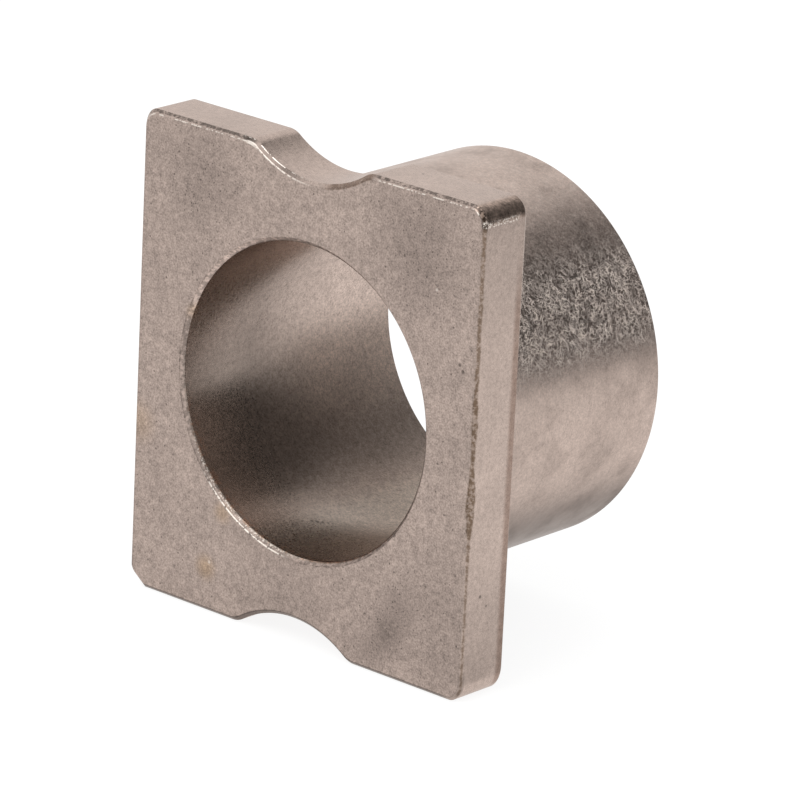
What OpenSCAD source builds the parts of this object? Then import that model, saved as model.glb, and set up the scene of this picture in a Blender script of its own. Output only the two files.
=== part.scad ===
// Flanged bushing for a transmission shaft, pressed and sintered as one piece.
// A round sleeve is pushed into the case and an upright plate flange seats against it.
// The bore runs level along Y, the flange faces -Y, the sleeve points along +Y.
// Origin: on the bore's axis, at the flange's seat face.

/* [Bore] */
// Diameter of the bore, a running fit on a one inch shaft
bore_d = 25.45; // [18:0.05:29]
// Chamfer at the bore's front mouth
bore_mouth = 0.35; // [0.1:0.05:1]
// Chamfer at the bore's rear mouth
bore_exit = 0.4; // [0.1:0.05:1]

/* [Sleeve] */
// Outer diameter of the sleeve, a press fit in its case
sleeve_d = 31.75; // [28.5:0.05:34]
// Length of the sleeve behind the flange
sleeve_len = 19.8; // [5:0.1:40]
// Lead chamfer on the sleeve's free end
sleeve_lead = 0.4; // [0.1:0.05:1]
// Radius in the corner between the sleeve and the flange
root_r = 0.3; // [0.1:0.05:0.6]

/* [Flange] */
// Width of the flange
flange_w = 35.6; // [33.5:0.1:60]
// Height of the flange
flange_h = 39.7; // [38:0.1:60]
// Thickness of the flange
flange_t = 4.8; // [2.5:0.1:12]
// Radius of the flange's four corners
corner_r = 1.5; // [1:0.1:3]
// Chamfer all round the front face
face_chamfer = 0.3; // [0.1:0.05:0.6]
// Small break all round the rear edge
rear_break = 0.2; // [0.05:0.05:0.4]

/* [Notches] */
// Radius of the arc notch in the top and bottom edges
notch_r = 9.65; // [6:0.05:14]
// Depth of each notch below the flange's edge
notch_depth = 2; // [1:0.1:3]
// Radius of the rolled lips where a notch meets the edge
lip_r = 1.9; // [1:0.1:4]

/* [Hidden] */
$fn = 128;
bore_r = bore_d / 2;
sleeve_r = sleeve_d / 2;
half_w = flange_w / 2;
half_h = flange_h / 2;
// Height of the notch arc's centre above the bore's axis
notch_y = half_h - notch_depth + notch_r;
// A lip's circle touches the flange's edge and the notch's arc
lip_y = half_h - lip_r;
lip_x = sqrt(notch_depth * (2 * (notch_r + lip_r) - notch_depth));
// How far a cutter reaches past the face that it cuts
past = 1;

// The part is drawn with its bore upright and the flange's seat face at z = 0,
// the front face up and the sleeve down, and is then turned so that the bore lies level.

// Right half of the flange's edge, seen in section, for a shape that reaches out to r
module edge_section(r) {
    polygon([
        [0, 0],
        [r - rear_break, 0],
        [r, rear_break],
        [r, flange_t - face_chamfer],
        [r - face_chamfer, flange_t],
        [0, flange_t]
    ]);
}

// Round post with the flange's edge profile, for corners and lips
module edge_post(r) {
    rotate_extrude() edge_section(r);
}

// Straight bar with the flange's edge profile on both long sides, running along Y
module edge_bar(half_width, length) {
    rotate([90, 0, 0])
        linear_extrude(height = length, center = true)
            union() {
                edge_section(half_width);
                mirror([1, 0, 0]) edge_section(half_width);
            }
}

// Plate with four round corners, its edges dressed on both faces
module plate() {
    edge_bar(half_w, flange_h - 2 * corner_r);
    rotate([0, 0, 90]) edge_bar(half_h, flange_w - 2 * corner_r);
    for (sx = [-1, 1], sy = [-1, 1])
        translate([sx * (half_w - corner_r), sy * (half_h - corner_r), 0])
            edge_post(corner_r);
}

// Arc of a notch, with the plate's chamfer and break carried round it
module notch_arc() {
    translate([0, notch_y, 0])
        rotate_extrude()
            polygon([
                [0, -past],
                [notch_r + rear_break + past, -past],
                [notch_r, rear_break],
                [notch_r, flange_t - face_chamfer],
                [notch_r + face_chamfer + past, flange_t + past],
                [0, flange_t + past]
            ]);
}

// Waste outside a notch's right lip, between its two touching points
module lip_waste() {
    rise = (notch_y - lip_y) / lip_x;
    difference() {
        translate([0, 0, -past])
            linear_extrude(height = flange_t + 2 * past)
                polygon([
                    [lip_x, lip_y],
                    [lip_x, half_h + past],
                    [lip_x - (lip_r + past) / rise, half_h + past]
                ]);
        translate([lip_x, lip_y, 0]) edge_post(lip_r);
    }
}

// One whole notch at the top edge
module notch() {
    notch_arc();
    lip_waste();
    mirror([1, 0, 0]) lip_waste();
}

// Sleeve with its lead chamfer and the radius at its root, up to the flange's middle
module sleeve() {
    rotate_extrude() {
        polygon([
            [0, -sleeve_len],
            [sleeve_r - sleeve_lead, -sleeve_len],
            [sleeve_r, -sleeve_len + sleeve_lead],
            [sleeve_r, flange_t / 2],
            [0, flange_t / 2]
        ]);
        difference() {
            translate([sleeve_r - root_r, -root_r]) square([2 * root_r, 2 * root_r]);
            translate([sleeve_r + root_r, -root_r]) circle(r = root_r);
        }
    }
}

// Through bore with a chamfer at each mouth
module bore() {
    rotate_extrude()
        polygon([
            [0, -sleeve_len - past],
            [bore_r + bore_exit + past, -sleeve_len - past],
            [bore_r, -sleeve_len + bore_exit],
            [bore_r, flange_t - bore_mouth],
            [bore_r + bore_mouth + past, flange_t + past],
            [0, flange_t + past]
        ]);
}

module bushing() {
    color([0.64, 0.59, 0.55])
        rotate([90, 0, 0])
            difference() {
                union() {
                    difference() {
                        plate();
                        notch();
                        mirror([0, 1, 0]) notch();
                    }
                    sleeve();
                }
                bore();
            }
}

bushing();
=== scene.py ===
import math

import bmesh
import bpy
from bpy.props import FloatProperty, FloatVectorProperty, PointerProperty
from mathutils import Matrix, Vector


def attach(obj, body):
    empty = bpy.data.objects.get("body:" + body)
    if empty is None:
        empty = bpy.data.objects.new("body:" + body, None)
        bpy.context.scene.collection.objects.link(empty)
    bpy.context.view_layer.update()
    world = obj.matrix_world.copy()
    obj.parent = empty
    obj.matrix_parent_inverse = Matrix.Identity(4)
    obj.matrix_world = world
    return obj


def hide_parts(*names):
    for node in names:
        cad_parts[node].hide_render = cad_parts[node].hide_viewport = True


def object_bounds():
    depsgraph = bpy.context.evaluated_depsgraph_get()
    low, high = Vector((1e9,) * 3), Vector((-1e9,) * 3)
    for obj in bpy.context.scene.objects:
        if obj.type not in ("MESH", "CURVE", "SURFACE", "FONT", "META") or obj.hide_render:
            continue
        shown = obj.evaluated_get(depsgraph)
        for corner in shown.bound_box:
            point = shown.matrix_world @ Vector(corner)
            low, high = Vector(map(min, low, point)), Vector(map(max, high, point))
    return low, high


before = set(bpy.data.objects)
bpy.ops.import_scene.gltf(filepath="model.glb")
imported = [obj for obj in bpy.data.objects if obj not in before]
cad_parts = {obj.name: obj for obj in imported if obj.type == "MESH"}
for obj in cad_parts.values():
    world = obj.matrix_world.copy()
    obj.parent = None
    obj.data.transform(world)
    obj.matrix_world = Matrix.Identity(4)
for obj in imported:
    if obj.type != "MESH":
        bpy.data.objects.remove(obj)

bl_info = {
    "name": "Sintered bushing studio",
    "version": (1, 0, 0),
    "blender": (4, 5, 0),
    "location": "View3D > Sidebar > Bushing",
    "description": "Dresses a flanged sintered bushing and sets it on a pale studio floor",
    "category": "Object",
}

MM = 0.001
CAD_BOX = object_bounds()
FLOOR_Z = CAD_BOX[0][2]
MERGE = 1e-6
SLEEVE_STEPS = 192
SMOOTH_ANGLE = math.radians(7)
WHITE = (1.0, 1.0, 1.0, 1.0)


# Sizes and colours that a user may change

class BushingSizes(bpy.types.PropertyGroup):
    bore_d: FloatProperty(
        name="Bore diameter", description="Diameter of the running bore",
        default=25.45 * MM, unit="LENGTH")
    sleeve_d: FloatProperty(
        name="Sleeve diameter", description="Outer diameter of the pressed sleeve",
        default=31.75 * MM, unit="LENGTH")
    sleeve_len: FloatProperty(
        name="Sleeve length", description="Length of the sleeve behind the flange",
        default=19.8 * MM, unit="LENGTH")
    flange_w: FloatProperty(
        name="Flange width", description="Width of the flange",
        default=35.6 * MM, unit="LENGTH")
    flange_h: FloatProperty(
        name="Flange height", description="Height of the flange",
        default=39.7 * MM, unit="LENGTH")
    flange_t: FloatProperty(
        name="Flange thickness", description="Thickness of the flange",
        default=4.8 * MM, unit="LENGTH")
    corner_r: FloatProperty(
        name="Corner radius", description="Radius of the flange's round corners",
        default=1.5 * MM, unit="LENGTH")
    notch_r: FloatProperty(
        name="Notch radius", description="Radius of the arc notches",
        default=9.65 * MM, unit="LENGTH")
    notch_depth: FloatProperty(
        name="Notch depth", description="Depth of the arc notches",
        default=2.0 * MM, unit="LENGTH")
    lip_r: FloatProperty(
        name="Lip radius", description="Radius of the lips at a notch's ends",
        default=1.9 * MM, unit="LENGTH")
    face_chamfer: FloatProperty(
        name="Face chamfer", description="Chamfer round the flange's front face",
        default=0.3 * MM, unit="LENGTH")
    rear_round: FloatProperty(
        name="Rear rounding", description="Worn rounding round the flange's rear edge",
        default=0.22 * MM, unit="LENGTH")
    bore_mouth: FloatProperty(
        name="Bore mouth chamfer", description="Chamfer at the bore's front mouth",
        default=0.35 * MM, unit="LENGTH")
    bore_exit: FloatProperty(
        name="Bore exit chamfer", description="Chamfer at the bore's rear mouth",
        default=0.4 * MM, unit="LENGTH")
    sleeve_lead: FloatProperty(
        name="Sleeve lead", description="Lead chamfer on the sleeve's free end",
        default=0.4 * MM, unit="LENGTH")
    root_r: FloatProperty(
        name="Root radius", description="Radius between the sleeve and the flange",
        default=0.3 * MM, unit="LENGTH")
    edge_r: FloatProperty(
        name="Edge radius", description="Radius on the edges of each chamfer",
        default=0.1 * MM, unit="LENGTH")


class BushingFinish(bpy.types.PropertyGroup):
    iron: FloatVectorProperty(
        name="Sintered iron", description="Colour of the bare sintered iron",
        default=(0.50, 0.40, 0.35), size=3, subtype="COLOR", min=0, max=1)
    floor: FloatVectorProperty(
        name="Floor", description="Colour of the studio floor",
        default=(0.2, 0.2, 0.2), size=3, subtype="COLOR", min=0, max=1)


# Modelling helpers

def points_of_profile(corners):
    """Corners are (along, across, radius); each radius is turned into a short arc."""
    points = []
    for i, (x, y, radius) in enumerate(corners):
        if radius == 0 or i in (0, len(corners) - 1):
            points.append(Vector((x, y)))
            continue
        here = Vector((x, y))
        back = (Vector(corners[i - 1][:2]) - here).normalized()
        ahead = (Vector(corners[i + 1][:2]) - here).normalized()
        half = back.angle(ahead) / 2
        reach = radius / math.tan(half)
        centre = here + (back + ahead).normalized() * radius / math.sin(half)
        start = here + back * reach - centre
        turn = start.angle_signed(here + ahead * reach - centre)
        steps = max(2, round(abs(turn) / math.radians(15)))
        for k in range(steps + 1):
            spun = Matrix.Rotation(-turn * k / steps, 2) @ start
            points.append(centre + spun)
    return points


class Wire:
    """An open wire drawn in edit mode from one vertex, by extruding and spinning its end."""

    def __init__(self, start):
        bpy.ops.object.select_all(action="DESELECT")
        bpy.ops.mesh.primitive_plane_add(size=MM, location=(0, 0, 0))
        self.obj = bpy.context.active_object
        bpy.ops.object.mode_set(mode="EDIT")
        bpy.ops.mesh.select_mode(type="VERT")
        bpy.ops.mesh.merge(type="CENTER")
        bpy.ops.transform.translate(value=start)
        self.at = Vector(start)

    def line(self, to, parts=1):
        step = (Vector(to) - self.at) / parts
        for _ in range(parts):
            bpy.ops.mesh.extrude_vertices_move(TRANSFORM_OT_translate={"value": step})
        self.at = Vector(to)

    def arc(self, centre, degrees, steps):
        """Turns the end about an axis along +Y, clockwise seen from the front."""
        bpy.ops.mesh.spin(
            steps=steps, angle=math.radians(-degrees), center=centre, axis=(0, 1, 0))
        spin = Matrix.Rotation(math.radians(degrees), 3, "Y")
        self.at = Vector(centre) + spin @ (self.at - Vector(centre))

    def corner(self, point, to, steps=20):
        """Rounds a corner point with a quarter of an ellipse, and ends at another point."""
        start, point, to = self.at.copy(), Vector(point), Vector(to)
        centre = start + to - point
        for k in range(1, steps + 1):
            a = math.pi / 2 * k / steps
            self.line(centre + (start - centre) * math.cos(a) + (to - centre) * math.sin(a))


def select_where(obj, kind, test):
    """Selects only the edges or faces of the edited mesh that pass a test."""
    bpy.ops.mesh.select_mode(type=kind)
    bpy.ops.mesh.select_all(action="DESELECT")
    mesh = bmesh.from_edit_mesh(obj.data)
    items = {"EDGE": mesh.edges, "FACE": mesh.faces}[kind]
    found = [item for item in items if test(item)]
    if not found:
        raise RuntimeError("nothing to select on " + obj.name)
    for item in found:
        item.select_set(True)
    mesh.select_flush_mode()
    bmesh.update_edit_mesh(obj.data)


def at_depth(item, y):
    return all(abs(v.co.y - y) < MERGE for v in item.verts)


# Shader helpers

class Value:
    """A node socket that can be used in Python expressions."""

    def __init__(self, shade, socket):
        self.shade = shade
        self.socket = socket

    def math(self, operation, *others):
        return self.shade.node(
            "ShaderNodeMath", {"operation": operation},
            dict(enumerate((self,) + others)))

    def __add__(self, other):
        return self.math("ADD", other)

    __radd__ = __add__

    def __mul__(self, other):
        return self.math("MULTIPLY", other)

    __rmul__ = __mul__

    def __sub__(self, other):
        return self.math("SUBTRACT", other)

    def __rsub__(self, other):
        return self.shade.node(
            "ShaderNodeMath", {"operation": "SUBTRACT"}, {0: other, 1: self})

    def sqrt(self):
        return self.math("SQRT")

    def least(self, other):
        return self.math("MINIMUM", other)

    def most(self, other):
        return self.math("MAXIMUM", other)

    def size(self):
        return self.math("ABSOLUTE")

    def angle_to(self, other):
        return self.math("ARCTAN2", other)

    def fade(self, low, high, start=0.0, end=1.0):
        """Goes smoothly from start at low to end at high, and stays there."""
        return self.shade.node(
            "ShaderNodeMapRange", {"interpolation_type": "SMOOTHSTEP"},
            {0: self, 1: low, 2: high, 3: start, 4: end})


class Shade:
    """One material's node tree, with its surface shader."""

    def __init__(self, name):
        self.material = bpy.data.materials.new(name)
        self.material.use_nodes = True
        self.tree = self.material.node_tree
        self.surface = self.tree.nodes["Principled BSDF"]
        self.place = self.node("ShaderNodeTexCoord", output="Object")

    def node(self, kind, settings=None, inputs=None, output=0):
        """Adds a node with its settings, feeds its sockets and gives one of its outputs."""
        new = self.tree.nodes.new(kind)
        for name, setting in (settings or {}).items():
            setattr(new, name, setting)
        for name, source in (inputs or {}).items():
            self.feed(new.inputs[name], source)
        return Value(self, new.outputs[output])

    def feed(self, socket, source):
        if isinstance(source, Value):
            self.tree.links.new(source.socket, socket)
        else:
            socket.default_value = source

    def blend(self, amount, below, above, how="MIX"):
        """Lays one colour over another by an amount from 0 to 1."""
        return self.node(
            "ShaderNodeMix", {"data_type": "RGBA", "blend_type": how},
            {0: amount, 6: below, 7: above}, output=2)


def rgba(colour):
    return (*colour, 1.0)


# Sintered iron, with painted shade and highlights

class IronWithPaintedLight:
    """The look of pressed and sintered iron, with painted shade and highlights, laid out in
    millimetres on the bushing's own axes.
    """

    highlight_colour = (0.95, 0.87, 0.79, 1)
    scratch_sheen = (0.86, 0.78, 0.72, 1)
    specular = (0.97, 0.92, 0.89, 1)
    stain = (1.0, 0.88, 0.66)

    def __init__(self, sizes, finish):
        self.iron = tuple(finish.iron)
        self.half_w, self.half_h = sizes.flange_w / 2 / MM, sizes.flange_h / 2 / MM
        self.sleeve_r = sizes.sleeve_d / 2 / MM
        self.front_y = -sizes.flange_t / MM
        self.shade = Shade("sintered_iron")
        self.at = self.shade.node(
            "ShaderNodeVectorMath", {"operation": "SCALE"},
            {0: self.shade.place, 3: 1 / MM})
        self.x, self.y, self.z = self.parts(self.at)
        self.r = (self.x * self.x + self.z * self.z).sqrt()
        self.angle = self.z.angle_to(self.x)
        self.measure(sizes)
        self.wobble = self.noise(1.3, 2.0, 0.6)
        self.fine = self.noise(6.5, 2.0, 0.7)
        self.medium = self.noise(2.2, 2.0, 0.6)
        self.broken = self.noise(3.2, 2.0, 0.6)
        self.worn = self.noise(0.35, 2.0)
        self.colour = None
        self.painted_highlights = []

    def measure(self, sizes):
        """Marks the faces, and measures in from the flange's outline and the bore's mouth."""
        corner_r, notch_r = sizes.corner_r / MM, sizes.notch_r / MM
        bore_r = sizes.bore_d / 2 / MM
        notch_z = self.half_h - sizes.notch_depth / MM + notch_r
        self.deep = self.y - self.front_y
        past_x = (self.x.size() - (self.half_w - corner_r)).most(0)
        past_z = (self.z.size() - (self.half_h - corner_r)).most(0)
        in_box = corner_r - (past_x * past_x + past_z * past_z).sqrt()
        to_notch = self.z.size() - notch_z
        in_notch = (self.x * self.x + to_notch * to_notch).sqrt() - notch_r
        inward = self.shade.node(
            "ShaderNodeMath", {"operation": "SMOOTH_MIN"}, {0: in_box, 1: in_notch, 2: 0.6})
        self.edge = inward - self.deep
        self.mouth = self.r - bore_r - self.deep
        self.front = self.deep.fade(0.02, 0.1, 1.0, 0.0)
        self.in_bore = self.r.fade(bore_r + 0.05, bore_r + 0.15, 1.0, 0.0)
        self.on_sleeve = self.y.fade(0.0, 0.3) * (1 - self.in_bore)
        self.near = self.deep.fade(0.45, 0.6, 1.0, 0.0) * (1 - self.in_bore)
        self.upper = self.z.fade(0.0, 2.0)
        self.post = (
            self.x.fade(self.half_w - 1.3, self.half_w - 0.9)
            * self.z.fade(self.half_h - 1.6, self.half_h - 1.3))

    def parts(self, vector):
        node = self.shade.node("ShaderNodeSeparateXYZ", {}, {0: vector}).socket.node
        return [Value(self.shade, out) for out in node.outputs]

    def noise(self, scale, detail=2.0, rough=0.5, at=None):
        return self.shade.node(
            "ShaderNodeTexNoise", {},
            {"Vector": at or self.at, "Scale": scale, "Detail": detail, "Roughness": rough})

    def spot(self, x, y, z, radius, soft=0.5):
        """1 inside a ball round a point, fading to 0 at its radius."""
        reach = self.shade.node(
            "ShaderNodeVectorMath", {"operation": "DISTANCE"},
            {0: self.at, 1: (x, y, z)}, output="Value")
        return reach.fade(radius * (1 - soft), radius, 1.0, 0.0)

    def front_spot(self, x, z, radius, soft=0.5):
        return self.spot(x, self.front_y, z, radius, soft)

    def smear(self, start, end, radius):
        """1 along a line between two (x, z) points on the front face, fading to its radius."""
        run = Vector(end) - Vector(start)
        long, (ux, uz) = run.length, run.normalized()
        px, pz = self.x - start[0], self.z - start[1]
        at = (px * ux + pz * uz).most(0).least(long)
        dx, dz = px - at * ux, pz - at * uz
        return (dx * dx + dz * dz).sqrt().fade(0.0, radius, 1.0, 0.0)

    def rim(self, value, centre, width, soft=0.06):
        """1 where a value lies within a width about a centre."""
        return (value - centre).size().fade(width / 2, width / 2 + soft, 1.0, 0.0)

    def pits(self, scale, largest, share):
        """Small round pores, in a share of the cells."""
        cell = self.shade.node(
            "ShaderNodeTexVoronoi", {"feature": "F1"}, {"Vector": self.at, "Scale": scale})
        node = cell.socket.node
        reach = Value(self.shade, node.outputs["Distance"])
        luck = self.parts(Value(self.shade, node.outputs["Color"]))[0]
        size = luck.fade(1 - share, 1.0, 0.0, largest * scale)
        return (size - reach).fade(0.0, 0.25 * largest * scale)

    def curls(self, scale, width):
        """Thin curling lines, as fine scratches leave."""
        return (self.noise(scale, 1.0, 0.4) - 0.5).size().fade(0.0, width, 1.0, 0.0)

    def strokes(self, turn, degrees, cut):
        """Short straight scratches on the sleeve, at an angle to its axis."""
        a = math.radians(degrees)
        along = self.y * math.cos(a) + turn * math.sin(a)
        across = turn * math.cos(a) - self.y * math.sin(a)
        flat = self.shade.node(
            "ShaderNodeCombineXYZ", {}, {0: along * 1.6, 1: across * 14.0, 2: degrees / 7})
        return self.noise(1.0, 0.0, 0.5, flat).fade(cut, cut + 0.05)

    def tint(self, amount, factor):
        """Multiplies the colour by a factor, or by three, where amount is 1."""
        if not isinstance(factor, tuple):
            factor = (factor,) * 3
        self.colour = self.shade.blend(amount, self.colour, rgba(factor), "MULTIPLY")

    def paint_highlights(self, *lines):
        """Painted highlights: lines, flecks and glints, laid over the rest in a light colour at
        the end.
        """
        self.painted_highlights.extend(lines)

    def lay_iron(self):
        """Grain of the pressed powder; the punch faces came out duller than the die's walls, and
        they also carry painted shade, with more painted shade and light in the bore, on the right
        side and under the sleeve.
        """
        broad = self.noise(0.22, 2.0, 0.55)
        strength = 0.24 + self.front * 0.16 + self.in_bore * 0.14
        grain = (
            1 + (self.fine - 0.5) * 4.0 * strength + (self.medium - 0.5) * 2.0 * strength)
        tone = grain * (1 + (broad - 0.5) * 0.35)
        smudged = self.medium.fade(0.25, 0.65)
        patches = (
            self.front_spot(-11, 15.5, 6.5, 0.9) * 0.14
            + self.front_spot(12, 15.5, 7.0, 0.9) * 0.2
            + self.smear((11.2, -13.6), (10.4, -15.2), 2.4) * smudged * 0.17
            + self.smear((9.8, -16.4), (8.4, -18.2), 2.3) * smudged * 0.24
            + self.front_spot(10.3, -16, 4.0, 0.9) * 0.08
            + self.front_spot(0, -17, 9.0, 0.9) * 0.08
            + self.front_spot(15, -14, 8.0, 0.9) * 0.09)
        # Painted shade, partly: the front face is darker both as a duller punch face and as
        # painted shade for the dim floor it mirrors; the bore's wall gets painted shade and light
        tone = tone * (
            1 - self.front * 0.2 - self.front * patches - self.in_bore * self.bore_painted_shade())
        # Painted shade: the right side face is darker towards its top and its bottom
        on_side = self.x.fade(self.half_w - 0.1, self.half_w - 0.02)
        tone = tone * (
            1 - on_side * (self.z.fade(5, 19) * 0.25 + self.z.fade(-18, -6, 0.22, 0.0)))
        # Painted shade: the sleeve is darker on its underside, where it mirrors the shadowed floor
        # below; the top face is a little darker
        on_top = self.z.fade(self.half_h - 2.5, self.half_h - 1.5) * (1 - self.front)
        tone = tone * (
            1 - self.on_sleeve * self.z.fade(-10.5, -5, 0.6, 0.0) - on_top * 0.05)
        self.colour = self.shade.node(
            "ShaderNodeVectorMath", {"operation": "SCALE"}, {0: self.iron, 3: tone})

    def bore_painted_shade(self):
        """Painted shade and light in the bore: how much darker its wall is than the outside, from
        place to place, darkest towards the front left, lighter deeper in and at the bottom, a
        little darker at the top.
        """
        shaded_front_left = (
            self.y.fade(-2, 12, 1.0, 0.0) * self.x.fade(-11, -3, 1.0, 0.0)
            * self.z.fade(-1, 7, 1.0, 0.0))
        lit_deeper_in = (
            self.z.fade(-3, 2, 0.0, 0.26)
            + self.z.fade(-3, 2, 0.4, 0.0) * self.z.fade(-9, -5, -0.1, 1.0)
            * self.x.fade(-7, 3, 1.0, -0.3))
        return (
            0.22 + shaded_front_left * 0.27 - self.y.fade(2, 14) * lit_deeper_in
            - self.x.fade(-12, -9, 0.18, 0.0) * self.y.fade(-2, 4, 1.0, 0.0)
            - self.z.fade(-12.5, -10, 0.26, 0.0) + self.z.fade(9, 12, 0.0, 0.1))

    def open_pores(self):
        """Pores, thickest near three corners of the front face."""
        crowd = (
            self.front_spot(-10.5, 15, 7, 0.8) + self.front_spot(12.5, 15.5, 8, 0.8)
            + self.front_spot(11, -15, 7, 0.8)).least(1)
        pores = self.pits(2.1, 0.1, 0.3).most(
            self.pits(4.3, 0.085, 0.5) * (0.35 + 0.65 * crowd))
        pores = (
            pores * (0.4 + 0.6 * self.front) * (1 - self.in_bore)
            * (1 - 0.9 * self.on_sleeve))
        self.tint(pores, 0.45)

    def top_chamfer(self):
        """The upper front edge, its right corner and the notch between its lips, with painted
        highlights and glints along the edges and painted shade in the right corner's and the
        notch's left chamfers.
        """
        edge, near, upper, broken = self.edge, self.near, self.upper, self.broken
        half_w, half_h = self.half_w, self.half_h
        level = (
            upper * self.x.size().fade(6.2, 7.0) * self.z.fade(half_h - 1.2, half_h - 0.6))
        dark_top = self.rim(edge, -0.14, 0.3, 0.14) * level * near
        self.tint(dark_top * broken.fade(0.36, 0.56, 0.2, 1.0), 0.36)
        # Painted highlight along the top chamfer's outer edge
        self.paint_highlights(
            self.rim(edge, 0.28, 0.07, 0.06) * level * near * broken.fade(0.45, 0.56) * 0.8)
        # Painted shade, mottled, on the front chamfer at the right corner, over the lamp's
        # highlight
        corner = (
            self.x.fade(half_w - 1.0, half_w - 0.6) * self.z.fade(half_h - 2, half_h - 1.4)
            * near)
        self.tint(corner * self.rim(edge, 0.0, 0.6) * broken.fade(0.35, 0.55, 0.4, 1.0), 0.36)
        behind = self.post * (1 - self.front)
        self.tint(behind, (1.15, 1.1, 1.05))
        self.tint(behind * broken.fade(0.42, 0.56), 0.66)
        # Painted glints along the lower edge of the rounded corner
        self.paint_highlights(
            self.rim(self.z, half_h - 1.36, 0.3, 0.14) * self.fine.fade(0.5, 0.58)
            * self.x.fade(half_w - 0.5, half_w - 0.2) * self.y.fade(-1.2, -0.6, 1.0, 0.0)
            * (1 - self.front))
        # Painted shade in the notch's left chamfer, over the lamp's highlight, with painted
        # highlights along its edges and at the lip
        left = upper * self.x.fade(-7.6, -6.8) * self.x.fade(-3.0, 0.8, 1.0, 0.0) * near
        self.tint(self.rim(edge, -0.05, 0.4, 0.1) * left, 0.36)
        self.paint_highlights(
            self.rim(edge, 0.3, 0.08, 0.06) * left * broken.fade(0.32, 0.48),
            self.rim(edge, -0.24, 0.06, 0.06) * left * broken.fade(0.46, 0.54) * 0.8,
            self.rim(edge, 0.3, 0.22, 0.1) * upper * self.x.fade(-6.9, -6.5)
            * self.x.fade(-6.2, -5.4, 1.0, 0.0) * near)
        right = upper * self.x.fade(0.8, 2.5) * self.x.fade(6.0, 6.8, 1.0, 0.0) * near
        self.tint(
            self.rim(edge, 0.04, 0.62, 0.12) * right * broken.fade(0.3, 0.5, 0.5, 1.0),
            (0.5, 0.45, 0.41))

    def side_chamfers(self):
        """The dark, ragged line down the right front edge, and the two lower corners, with painted
        shade along the bottom front edges.
        """
        half_w, z = self.half_w, self.z
        on_right = self.x.fade(half_w - 0.8, half_w - 0.4) * self.deep.fade(0.9, 1.1, 1.0, 0.0)
        thick = (
            (self.wobble - 0.5) * 0.35 + self.spot(half_w, -4.5, -3.6, 3.0, 0.8) * 0.25
            + self.spot(half_w, -4.5, 3.0, 2.4, 0.8) * 0.1 - z.fade(-10, -5, 0.07, 0.0))
        line = (
            ((self.edge + 0.02).size() - thick).fade(0.1, 0.34, 1.0, 0.0) * on_right
            * z.fade(-11, -5, 0.8, 1.0) * z.fade(4, 9, 1.0, 0.9))
        self.tint(line * self.broken.fade(0.34, 0.56, 0.45, 1.0), (0.36, 0.31, 0.25))
        # Painted shade: the bottom chamfers face the shadowed floor below and are darkened
        low_line = (
            self.rim(self.edge, 0.0, 0.6, 0.1) * z.fade(-17.7, -17.2, 1.0, 0.0) * self.near
            * self.x.fade(half_w - 2.2, half_w - 1, 1.0, 0.35))
        self.tint(low_line, 0.34)
        low_left = self.x.fade(-17.2, -17.5) * self.deep.fade(0.4, 0.6, 1.0, 0.0)
        self.tint(low_left * 0.3, 0.6)

    def rear_edge(self):
        """Painted shade along the rounded rear edge of the flange's right side, with a painted
        highlight along a seam near its top.
        """
        half_w, from_rear = self.half_w, self.y * -1
        rear = self.rim(from_rear, 0.36, 0.36, 0.5) * self.x.fade(half_w - 0.6, half_w - 0.3)
        rear = rear * self.z.fade(10, 16, 1.0, 0.1)
        self.tint(rear * (0.5 + 0.6 * self.wobble), (0.56, 0.48, 0.44))
        self.paint_highlights(
            self.rim(from_rear, 0.1, 0.1, 0.08) * self.x.fade(half_w - 0.3, half_w - 0.1)
            * self.z.fade(5, 11) * self.fine.fade(0.35, 0.55, 0.4, 1.0) * 0.45)

    def bore_mouth(self):
        """The chamfer at the bore's mouth and the wall just inside, with painted highlights and
        painted shade and light; returns the chamfer.
        """
        angle, mouth, broken = self.angle, self.mouth, self.broken
        on_mouth = self.rim(mouth, 0.0, 0.62, 0.08) * self.deep.fade(0.36, 0.42, 1.0, 0.0)
        low_left = angle.fade(-2.75, -2.5) * angle.fade(-1.72, -1.5, 1.0, 0.0)
        streak = angle.fade(-2.5, -2.3) * angle.fade(-1.74, -1.6, 1.0, 0.0)
        # Painted highlights: a streak along the chamfer's outer edge and flecks along its inner
        # edge, at the lower left
        self.paint_highlights(
            self.rim(mouth, 0.27, 0.1, 0.06) * streak * broken.fade(0.34, 0.5),
            self.rim(mouth, -0.12, 0.2, 0.08) * low_left * self.fine.fade(0.52, 0.6) * 0.6)
        # Painted shade, mottled, under the lamp's highlight at the lower left; painted light on
        # the upper part, which lies in shade; painted shade, mottled, round the rest
        self.tint(on_mouth * low_left * broken.fade(0.36, 0.58, 1.0, 0.6), 0.42)
        self.tint(on_mouth * self.z.fade(2, 9), 1.5)
        self.tint(on_mouth * (1 - low_left) * broken.fade(0.42, 0.58) * 0.8, 0.5)
        # Painted shade on the wall just inside the mouth at the lower right, seen at a grazing
        # angle
        low_right = angle.fade(-1.6, -1.3) * angle.fade(0.2, 0.6, 1.0, 0.0)
        self.tint(
            self.in_bore * self.deep.fade(0.5, 0.75, 1.0, 0.0) * low_right, (0.5, 0.4, 0.35))
        rusty = self.in_bore * self.deep.fade(0.4, 1.4, 1.0, 0.0) * self.z.fade(-6, 0, 1.0, 0.0)
        self.tint(rusty * self.medium.fade(0.46, 0.6), (1.0, 0.84, 0.75))
        self.tint(self.in_bore * self.z.fade(-4, 2, 1.0, 0.0), (1.0, 1.02, 1.01))
        self.tint(self.in_bore * self.z.fade(-12.5, -11.4, 1.0, 0.0), (1.08, 1.13, 1.13))
        return on_mouth

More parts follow.
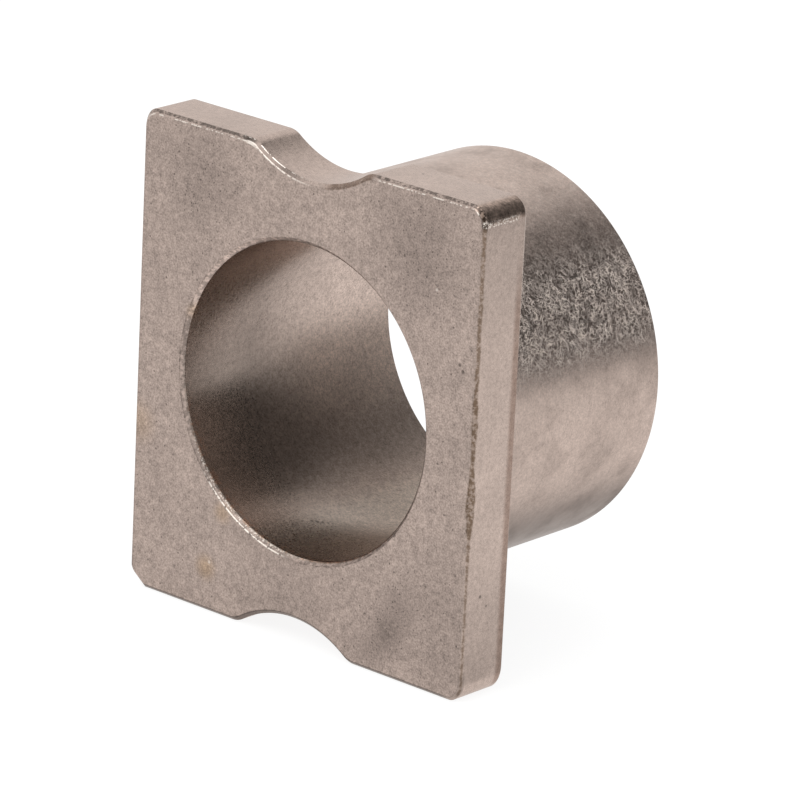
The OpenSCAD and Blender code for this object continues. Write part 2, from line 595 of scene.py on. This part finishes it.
    def sleeve_wall(self):
        """A tangle of fine scratches, with painted light: in the band where the sleeve mirrors the
        dark card they are laid in a lighter colour and partly as painted highlights; returns them.
        """
        turn = self.angle * self.sleeve_r
        mirrored_dark_band = (
            self.z.fade(2.5, 6.0) * self.z.fade(9, 12.5, 1.0, 0.15) * self.on_sleeve
            * self.y.fade(19.2, 19.5, 1.0, 0.0))
        scratches_and_sheen = self.curls(3.6, 0.02) * self.broken.fade(0.5, 0.56)
        for degrees in (15, 48, -20, -52, 80):
            scratches_and_sheen = scratches_and_sheen.most(self.strokes(turn, degrees, 0.64))
        scratches_and_sheen = scratches_and_sheen * self.wobble.fade(0.3, 0.6, 0.4, 1.0) * mirrored_dark_band
        # Painted light: the scratches are laid in a lighter colour, standing in for the light they
        # catch
        self.colour = self.shade.blend(scratches_and_sheen * 0.9, self.colour, self.scratch_sheen)
        self.paint_highlights(scratches_and_sheen * self.medium.fade(0.5, 0.62) * 0.7)
        self.tint(self.on_sleeve * self.worn.fade(0.5, 0.68) * 0.4, 0.7)
        return scratches_and_sheen

    def marks(self):
        """Yellow stains, small dents and pits, a fine scratch in the bore, and chips painted as
        highlights.
        """
        for x, z, radius, amount in (
                (-9.4, -16.2, 1.5, 0.7), (-7.8, -11.2, 1.3, 0.55),
                (-11.6, 4.3, 1.2, 0.6), (-17.3, -6, 2.5, 0.4)):
            self.tint(self.front_spot(x, z, radius, 0.9) * amount, self.stain)
        for x, y, z, radius in (
                (8.62, -1.59, 19.85, 0.16), (17.8, -3.1, -11.37, 0.2),
                (17.8, -2.34, -12.3, 0.14), (16.04, self.front_y, 7.19, 0.22),
                (16.37, self.front_y, 6.72, 0.2), (10.28, self.front_y, -8.02, 0.25),
                (-3.7, 1.25, -12.18, 0.2), (-3.47, 1.6, -12.25, 0.2),
                (-3.2, 1.95, -12.32, 0.18), (-2.93, 2.3, -12.38, 0.16)):
            self.tint(self.spot(x, y, z, radius, 0.6) * 0.8, 0.3)
        # Chips, painted as highlights
        chips = self.front_spot(-9.02, -15.66, 0.2, 0.8).most(
            self.front_spot(13.38, 12.46, 0.18, 0.8)).most(
            self.spot(17.7, -4.5, 18.7, 0.2, 0.8))
        self.paint_highlights(chips * 0.5)

    def roughness(self, on_mouth, scratches_and_sheen):
        rough = (
            0.3 + (self.fine - 0.5) * 0.3 + self.front * 0.1 + scratches_and_sheen * 0.5
            + self.in_bore * (
                self.y.fade(0, 12, 0.0, 0.32) * self.z.fade(-3, 3, 1.0, 0.0) - 0.02)
            + self.on_sleeve * self.worn.fade(0.35, 0.65, 0.0, 0.08)
            + self.post * (1 - self.front) * (0.07 + (self.medium - 0.5) * 0.3)
            + on_mouth * 0.15)
        return rough.most(0.2 + self.on_sleeve * 0.09).least(1)

    def build(self):
        self.lay_iron()
        self.open_pores()
        self.top_chamfer()
        self.side_chamfers()
        self.rear_edge()
        on_mouth = self.bore_mouth()
        scratches_and_sheen = self.sleeve_wall()
        self.marks()
        # Painted highlights, gathered and laid over the colour in a light tint
        painted_highlights = self.painted_highlights[0]
        for more in self.painted_highlights[1:]:
            painted_highlights = painted_highlights.most(more)
        self.colour = self.shade.blend(painted_highlights * 0.8, self.colour, self.highlight_colour)
        surface = self.shade.surface.inputs
        self.shade.feed(surface["Base Color"], self.colour)
        self.shade.feed(surface["Roughness"], self.roughness(on_mouth, scratches_and_sheen))
        surface["Metallic"].default_value = 1.0
        surface["Specular Tint"].default_value = self.specular
        return self.shade.material


# Pieces

class OBJECT_OT_bushing_body(bpy.types.Operator):
    """Models the sleeve, its bore and the notched flange as one piece"""
    bl_idname = "object.bushing_body"
    bl_label = "Bushing body"

    def flange(self, s):
        """Draws the flange's outline, gives it depth and rounds both its edges."""
        half_w, half_h = s.flange_w / 2, s.flange_h / 2
        notch_z = half_h - s.notch_depth + s.notch_r
        lip_z = half_h - s.lip_r
        lip_x = math.sqrt(s.notch_depth * (2 * (s.notch_r + s.lip_r) - s.notch_depth))
        roll = math.degrees(math.asin(lip_x / (s.notch_r + s.lip_r)))
        y = -s.rear_round
        # The pressed corners differ a little: the lower left one has a small flat across it
        top_right = (s.corner_r, s.corner_r)
        low_right = (0.95 * s.corner_r, 1.4 * s.corner_r)
        top_left = (0.75 * s.corner_r, 1.1 * s.corner_r)
        flat_x, flat_z = 1.6 * MM, 1.25 * MM
        wire = Wire((0, y, half_h - s.notch_depth))
        wire.arc((0, y, notch_z), -roll, 16)
        wire.arc((lip_x, y, lip_z), roll, 8)
        wire.line((half_w - top_right[0], y, half_h), 8)
        wire.corner((half_w, y, half_h), (half_w, y, half_h - top_right[1]))
        wire.line((half_w, y, -half_h + low_right[1]), 24)
        wire.corner((half_w, y, -half_h), (half_w - low_right[0], y, -half_h))
        wire.line((lip_x, y, -half_h), 8)
        wire.arc((lip_x, y, -lip_z), roll, 8)
        wire.arc((0, y, -notch_z), -2 * roll, 32)
        wire.arc((-lip_x, y, -lip_z), roll, 8)
        wire.line((-half_w + flat_x, y, -half_h), 8)
        wire.line((-half_w + 0.25 * flat_x, y, -half_h + 0.7 * flat_z), 2)
        wire.corner((-half_w, y, -half_h + flat_z), (-half_w, y, -half_h + 1.3 * flat_z), 12)
        wire.line((-half_w, y, half_h - top_left[1]), 24)
        wire.corner((-half_w, y, half_h), (-half_w + top_left[0], y, half_h))
        wire.line((-lip_x, y, half_h), 8)
        wire.arc((-lip_x, y, lip_z), roll, 8)
        wire.arc((0, y, notch_z), -roll, 16)
        bpy.ops.mesh.select_all(action="SELECT")
        bpy.ops.mesh.remove_doubles(threshold=MERGE)
        bpy.ops.mesh.edge_face_add()
        wall = s.flange_t - s.rear_round - s.face_chamfer
        front = points_of_profile([
            (0, 0, 0), (0, wall, s.edge_r),
            (s.face_chamfer, wall + s.face_chamfer, s.edge_r),
            (2 * s.face_chamfer, wall + s.face_chamfer, 0)])
        bpy.ops.mesh.extrude_region_move(
            TRANSFORM_OT_translate={"value": (0, -front[1].y, 0)})
        bpy.ops.mesh.select_all(action="SELECT")
        bpy.ops.mesh.normals_make_consistent(inside=False)
        select_where(wire.obj, "FACE", lambda f: at_depth(f, y - front[1].y))
        self.step_in(front[1:-1])
        select_where(wire.obj, "FACE", lambda f: at_depth(f, y))
        quarter = [
            Vector((s.rear_round * (1 - math.cos(a)), s.rear_round * math.sin(a)))
            for a in (math.radians(10 * k) for k in range(10))]
        self.step_in(quarter)
        select_where(wire.obj, "FACE", lambda f: at_depth(f, 0) or at_depth(f, -s.flange_t))
        bpy.ops.mesh.delete(type="ONLY_FACE")
        bpy.ops.object.mode_set(mode="OBJECT")
        return wire.obj

    def step_in(self, points):
        """Insets the selected face along a list of (inward, outward) points."""
        for before, after in zip(points, points[1:]):
            bpy.ops.mesh.inset(
                thickness=after.x - before.x, depth=after.y - before.y,
                use_even_offset=True)

    def sleeve(self, s):
        """Draws half a section through sleeve and bore, and spins it about the bore's axis."""
        bore, outer = s.bore_d / 2, s.sleeve_d / 2
        front, back = -s.flange_t, s.sleeve_len
        corners = [
            (bore + 3 * s.bore_mouth, front, 0),
            (bore + s.bore_mouth, front, s.edge_r),
            (bore, front + s.bore_mouth, s.edge_r),
            (bore, back - s.bore_exit, s.edge_r),
            (bore + s.bore_exit, back, s.edge_r),
            (outer - s.sleeve_lead, back, s.edge_r),
            (outer, back - s.sleeve_lead, s.edge_r),
            (outer, 0, s.root_r),
            (outer + 2 * s.root_r, 0, 0)]
        points = points_of_profile(corners)[1:-1]
        wire = Wire((points[0].x, points[0].y, 0))
        for point in points[1:]:
            wire.line((point.x, point.y, 0))
        bpy.ops.mesh.select_all(action="SELECT")
        bpy.ops.mesh.spin(
            steps=SLEEVE_STEPS, angle=2 * math.pi, center=(0, 0, 0), axis=(0, 1, 0))
        bpy.ops.mesh.select_all(action="SELECT")
        bpy.ops.mesh.remove_doubles(threshold=MERGE)
        bpy.ops.object.mode_set(mode="OBJECT")
        return wire.obj

    def execute(self, context):
        s = context.scene.bushing_sizes
        flange = self.flange(s)
        sleeve = self.sleeve(s)
        bpy.ops.object.select_all(action="DESELECT")
        sleeve.select_set(True)
        flange.select_set(True)
        context.view_layer.objects.active = flange
        bpy.ops.object.join()
        bpy.ops.object.mode_set(mode="EDIT")
        for y in (-s.flange_t, 0):
            select_where(flange, "EDGE", lambda e: e.is_boundary and at_depth(e, y))
            bpy.ops.mesh.fill(use_beauty=False)
        bpy.ops.mesh.select_all(action="SELECT")
        bpy.ops.mesh.normals_make_consistent(inside=False)
        bpy.ops.object.mode_set(mode="OBJECT")
        bpy.ops.object.transform_apply(location=True, rotation=True, scale=True)
        bpy.ops.object.shade_smooth_by_angle(angle=SMOOTH_ANGLE)
        flange.name = "bushing_body"
        flange.data.name = "bushing_body"
        flange.data.materials.clear()
        flange.data.materials.append(IronWithPaintedLight(s, context.scene.bushing_finish).build())
        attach(flange, "root")
        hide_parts("bushing")
        return {"FINISHED"}


class OBJECT_OT_bushing_stage(bpy.types.Operator):
    """Sets the floor, the lamps, the world and the camera"""
    bl_idname = "object.bushing_stage"
    bl_label = "Studio stage"

    def lamp(self, name, place, aim, size, power):
        bpy.ops.object.light_add(type="AREA", location=place)
        lamp = bpy.context.active_object
        lamp.name = name
        lamp.data.name = name
        lamp.data.size = size
        lamp.data.energy = power
        aim_line = Vector(aim) - Vector(place)
        lamp.rotation_euler = aim_line.to_track_quat("-Z", "Y").to_euler()

    def floor(self, finish):
        """Lays a floor that reads white to the camera and in the metal, and keeps a shadow."""
        bpy.ops.mesh.primitive_plane_add(size=6.0, location=(0, 0, FLOOR_Z))
        floor = bpy.context.active_object
        floor.name = "studio_floor"
        shade = Shade("studio_floor")
        shade.surface.inputs["Base Color"].default_value = rgba(finish.floor)
        shade.surface.inputs["Roughness"].default_value = 0.9
        shade.surface.inputs["Specular IOR Level"].default_value = 0.0
        seen = shade.node("ShaderNodeLightPath", output="Is Camera Ray").most(
            shade.node("ShaderNodeLightPath", output="Is Glossy Ray")).most(
            shade.node("ShaderNodeLightPath", output="Is Transmission Ray"))
        shade.surface.inputs["Emission Color"].default_value = WHITE
        glow = shade.node("ShaderNodeMath", {"operation": "MULTIPLY"}, {0: seen, 1: 0.86})
        shade.feed(shade.surface.inputs["Emission Strength"], glow)
        floor.data.materials.append(shade.material)

    def world(self):
        world = bpy.data.worlds.new("studio_air")
        bpy.context.scene.world = world
        world.use_nodes = True
        air = world.node_tree.nodes["Background"]
        air.inputs["Color"].default_value = WHITE
        air.inputs["Strength"].default_value = 1.0

    def card(self, name, foot, end, low, high, grey):
        """Stands a dull card over the line between two points, for the metal to mirror."""
        bpy.ops.object.select_all(action="DESELECT")
        bpy.ops.mesh.primitive_plane_add(size=1.0)
        card = bpy.context.active_object
        card.name = name
        corners = [(*foot, low), (*end, low), (*foot, high), (*end, high)]
        for vert, place in zip(card.data.vertices, corners):
            vert.co = place
        shade = Shade(name)
        shade.surface.inputs["Base Color"].default_value = rgba([grey] * 3)
        shade.surface.inputs["Roughness"].default_value = 1.0
        shade.surface.inputs["Specular IOR Level"].default_value = 0.0
        card.data.materials.append(shade.material)
        card.visible_camera = False
        card.visible_diffuse = False
        card.visible_shadow = False

    def camera(self):
        """Sets the camera at the place and turn that were fitted to the photo."""
        bpy.ops.object.camera_add()
        camera = bpy.context.active_object
        camera.name = "photo_camera"
        right = Vector((0.74130379, 0.66959498, 0.04594834))
        up = Vector((-0.24650174, 0.2079456, 0.9465704))
        back = Vector((0.62426403, -0.71302257, 0.31920719))
        turn = Matrix((right, up, back)).transposed()
        camera.matrix_world = Matrix.Translation(
            (0.286593, -0.320467, 0.144213)) @ turn.to_4x4()
        camera.data.sensor_width = 36.0
        camera.data.lens = 261.88
        camera.data.clip_start = 0.01
        bpy.context.scene.camera = camera

    def execute(self, context):
        context.scene.view_settings.view_transform = "Standard"
        self.floor(context.scene.bushing_finish)
        self.world()
        self.camera()
        self.card("rear_card", (-0.02, 0.55), (0.85, 0.25), FLOOR_Z, 0.7, 0.11)
        self.card("upper_card", (-0.16, 0.55), (-0.02, 0.55), 0.5, 0.9, 0.5)
        self.lamp("key_lamp", (-0.02, -0.45, 0.66), (0, 0, 0), 0.4, 1.3)
        return {"FINISHED"}


class VIEW3D_PT_bushing(bpy.types.Panel):
    """Lists what the bushing is made of"""
    bl_idname = "VIEW3D_PT_bushing"
    bl_label = "Bushing"
    bl_space_type = "VIEW_3D"
    bl_region_type = "UI"
    bl_category = "Bushing"

    def draw(self, context):
        for name in STEPS:
            self.layout.operator("object." + name)
        for group in (context.scene.bushing_sizes, context.scene.bushing_finish):
            box = self.layout.box()
            for name in group.__annotations__:
                box.prop(group, name)


STEPS = ("bushing_body", "bushing_stage")
CLASSES = (
    BushingSizes,
    BushingFinish,
    OBJECT_OT_bushing_body,
    OBJECT_OT_bushing_stage,
    VIEW3D_PT_bushing,
)


def register():
    for cls in CLASSES:
        bpy.utils.register_class(cls)
    bpy.types.Scene.bushing_sizes = PointerProperty(type=BushingSizes)
    bpy.types.Scene.bushing_finish = PointerProperty(type=BushingFinish)


def unregister():
    del bpy.types.Scene.bushing_finish
    del bpy.types.Scene.bushing_sizes
    for cls in reversed(CLASSES):
        bpy.utils.unregister_class(cls)


def main():
    register()
    for name in STEPS:
        getattr(bpy.ops.object, name)()


if __name__ == "__main__":
    main()
